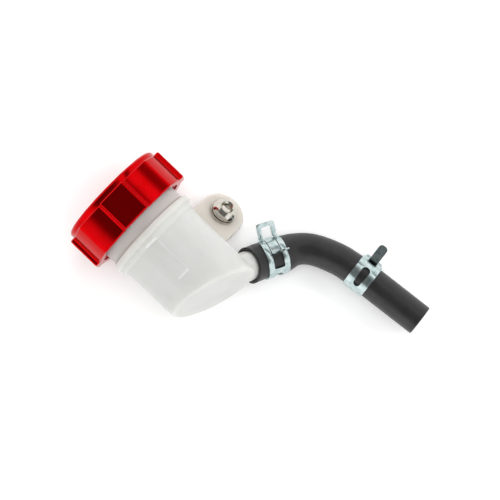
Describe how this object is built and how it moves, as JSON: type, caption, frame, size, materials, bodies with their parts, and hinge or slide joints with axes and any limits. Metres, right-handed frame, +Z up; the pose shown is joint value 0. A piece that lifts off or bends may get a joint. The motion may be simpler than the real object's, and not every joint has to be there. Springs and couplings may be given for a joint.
{
  "type": "brake fluid reservoir",
  "caption": "Remote fluid reservoir on its side: lobed screw cap, side tab with hex-socket bolt, slanted bottom, angled spout with a short bent hose and spring band clamps.",
  "frame": {"origin": "on the table, under the centre of the box around the reservoir, its cap and its bolt", "axes": "+Z up. +X runs along the reservoir from the cap to its slanted bottom, within about two degrees. +Y is the side the tab and the spout are on"},
  "size_m": [0.1273, 0.0869, 0.0505],
  "materials": {
    "natural_plastic": "translucent natural plastic, satin",
    "red_anodised": "bright red anodised, turned and milled",
    "ring_plastic": "plain pale plastic",
    "bellows_rubber": "soft black moulded rubber",
    "stainless_bolt": "polished stainless steel",
    "stainless_washer": "stainless steel",
    "hose_rubber": "matte black rubber with a faint sheen",
    "zinc_spout_clamp": "bright zinc-plated spring steel",
    "zinc_end_clamp": "bright zinc-plated spring steel"
  },
  "bodies": {
    "reservoir": {"reservoir_body": "natural_plastic", "hose": "hose_rubber"},
    "seal": {"slip_ring": "ring_plastic", "diaphragm": "bellows_rubber"},
    "cap": {"cap": "red_anodised"},
    "washer": {"bolt_washer": "stainless_washer"},
    "bolt": {"mounting_bolt": "stainless_bolt"},
    "spout_clamp": {"spout_clamp": "zinc_spout_clamp"},
    "hose_end_clamp": {"hose_end_clamp": "zinc_end_clamp"}
  },
  "joints": [
    {"name": "cap_rise", "type": "slide", "parent": "reservoir", "child": "seal", "axis": [-0.9993, 0, -0.0384], "range_m": [0, 0.0061]},
    {"name": "cap_turn", "type": "hinge", "parent": "seal", "child": "cap", "pos_m": [-0.02285, -0.00434, 0.02525], "axis": [-0.9993, 0, -0.0384], "range_deg": [0, 720]},
    {"name": "bolt_draw", "type": "slide", "parent": "reservoir", "child": "washer", "axis": [-0.0309, 0.5948, 0.8033], "range_m": [0, 0.009]},
    {"name": "bolt_turn", "type": "hinge", "parent": "washer", "child": "bolt", "pos_m": [0.00441, 0.0228, 0.01118], "axis": [-0.0309, 0.5948, 0.8033], "continuous": true},
    {"name": "spout_clamp_turn", "type": "hinge", "parent": "reservoir", "child": "spout_clamp", "pos_m": [0.0313, 0.02258, 0.00977], "axis": [0.4499, 0.8451, -0.2889], "continuous": true},
    {"name": "end_clamp_slide", "type": "slide", "parent": "reservoir", "child": "hose_end_clamp", "axis": [0.9936, 0.1044, 0.0426], "range_m": [-0.001, 0.024]}
  ],
  "couplings": [
    {"joint": "cap_rise", "follows": "cap_turn", "m_per_rad": 0.00047746}
  ]
}
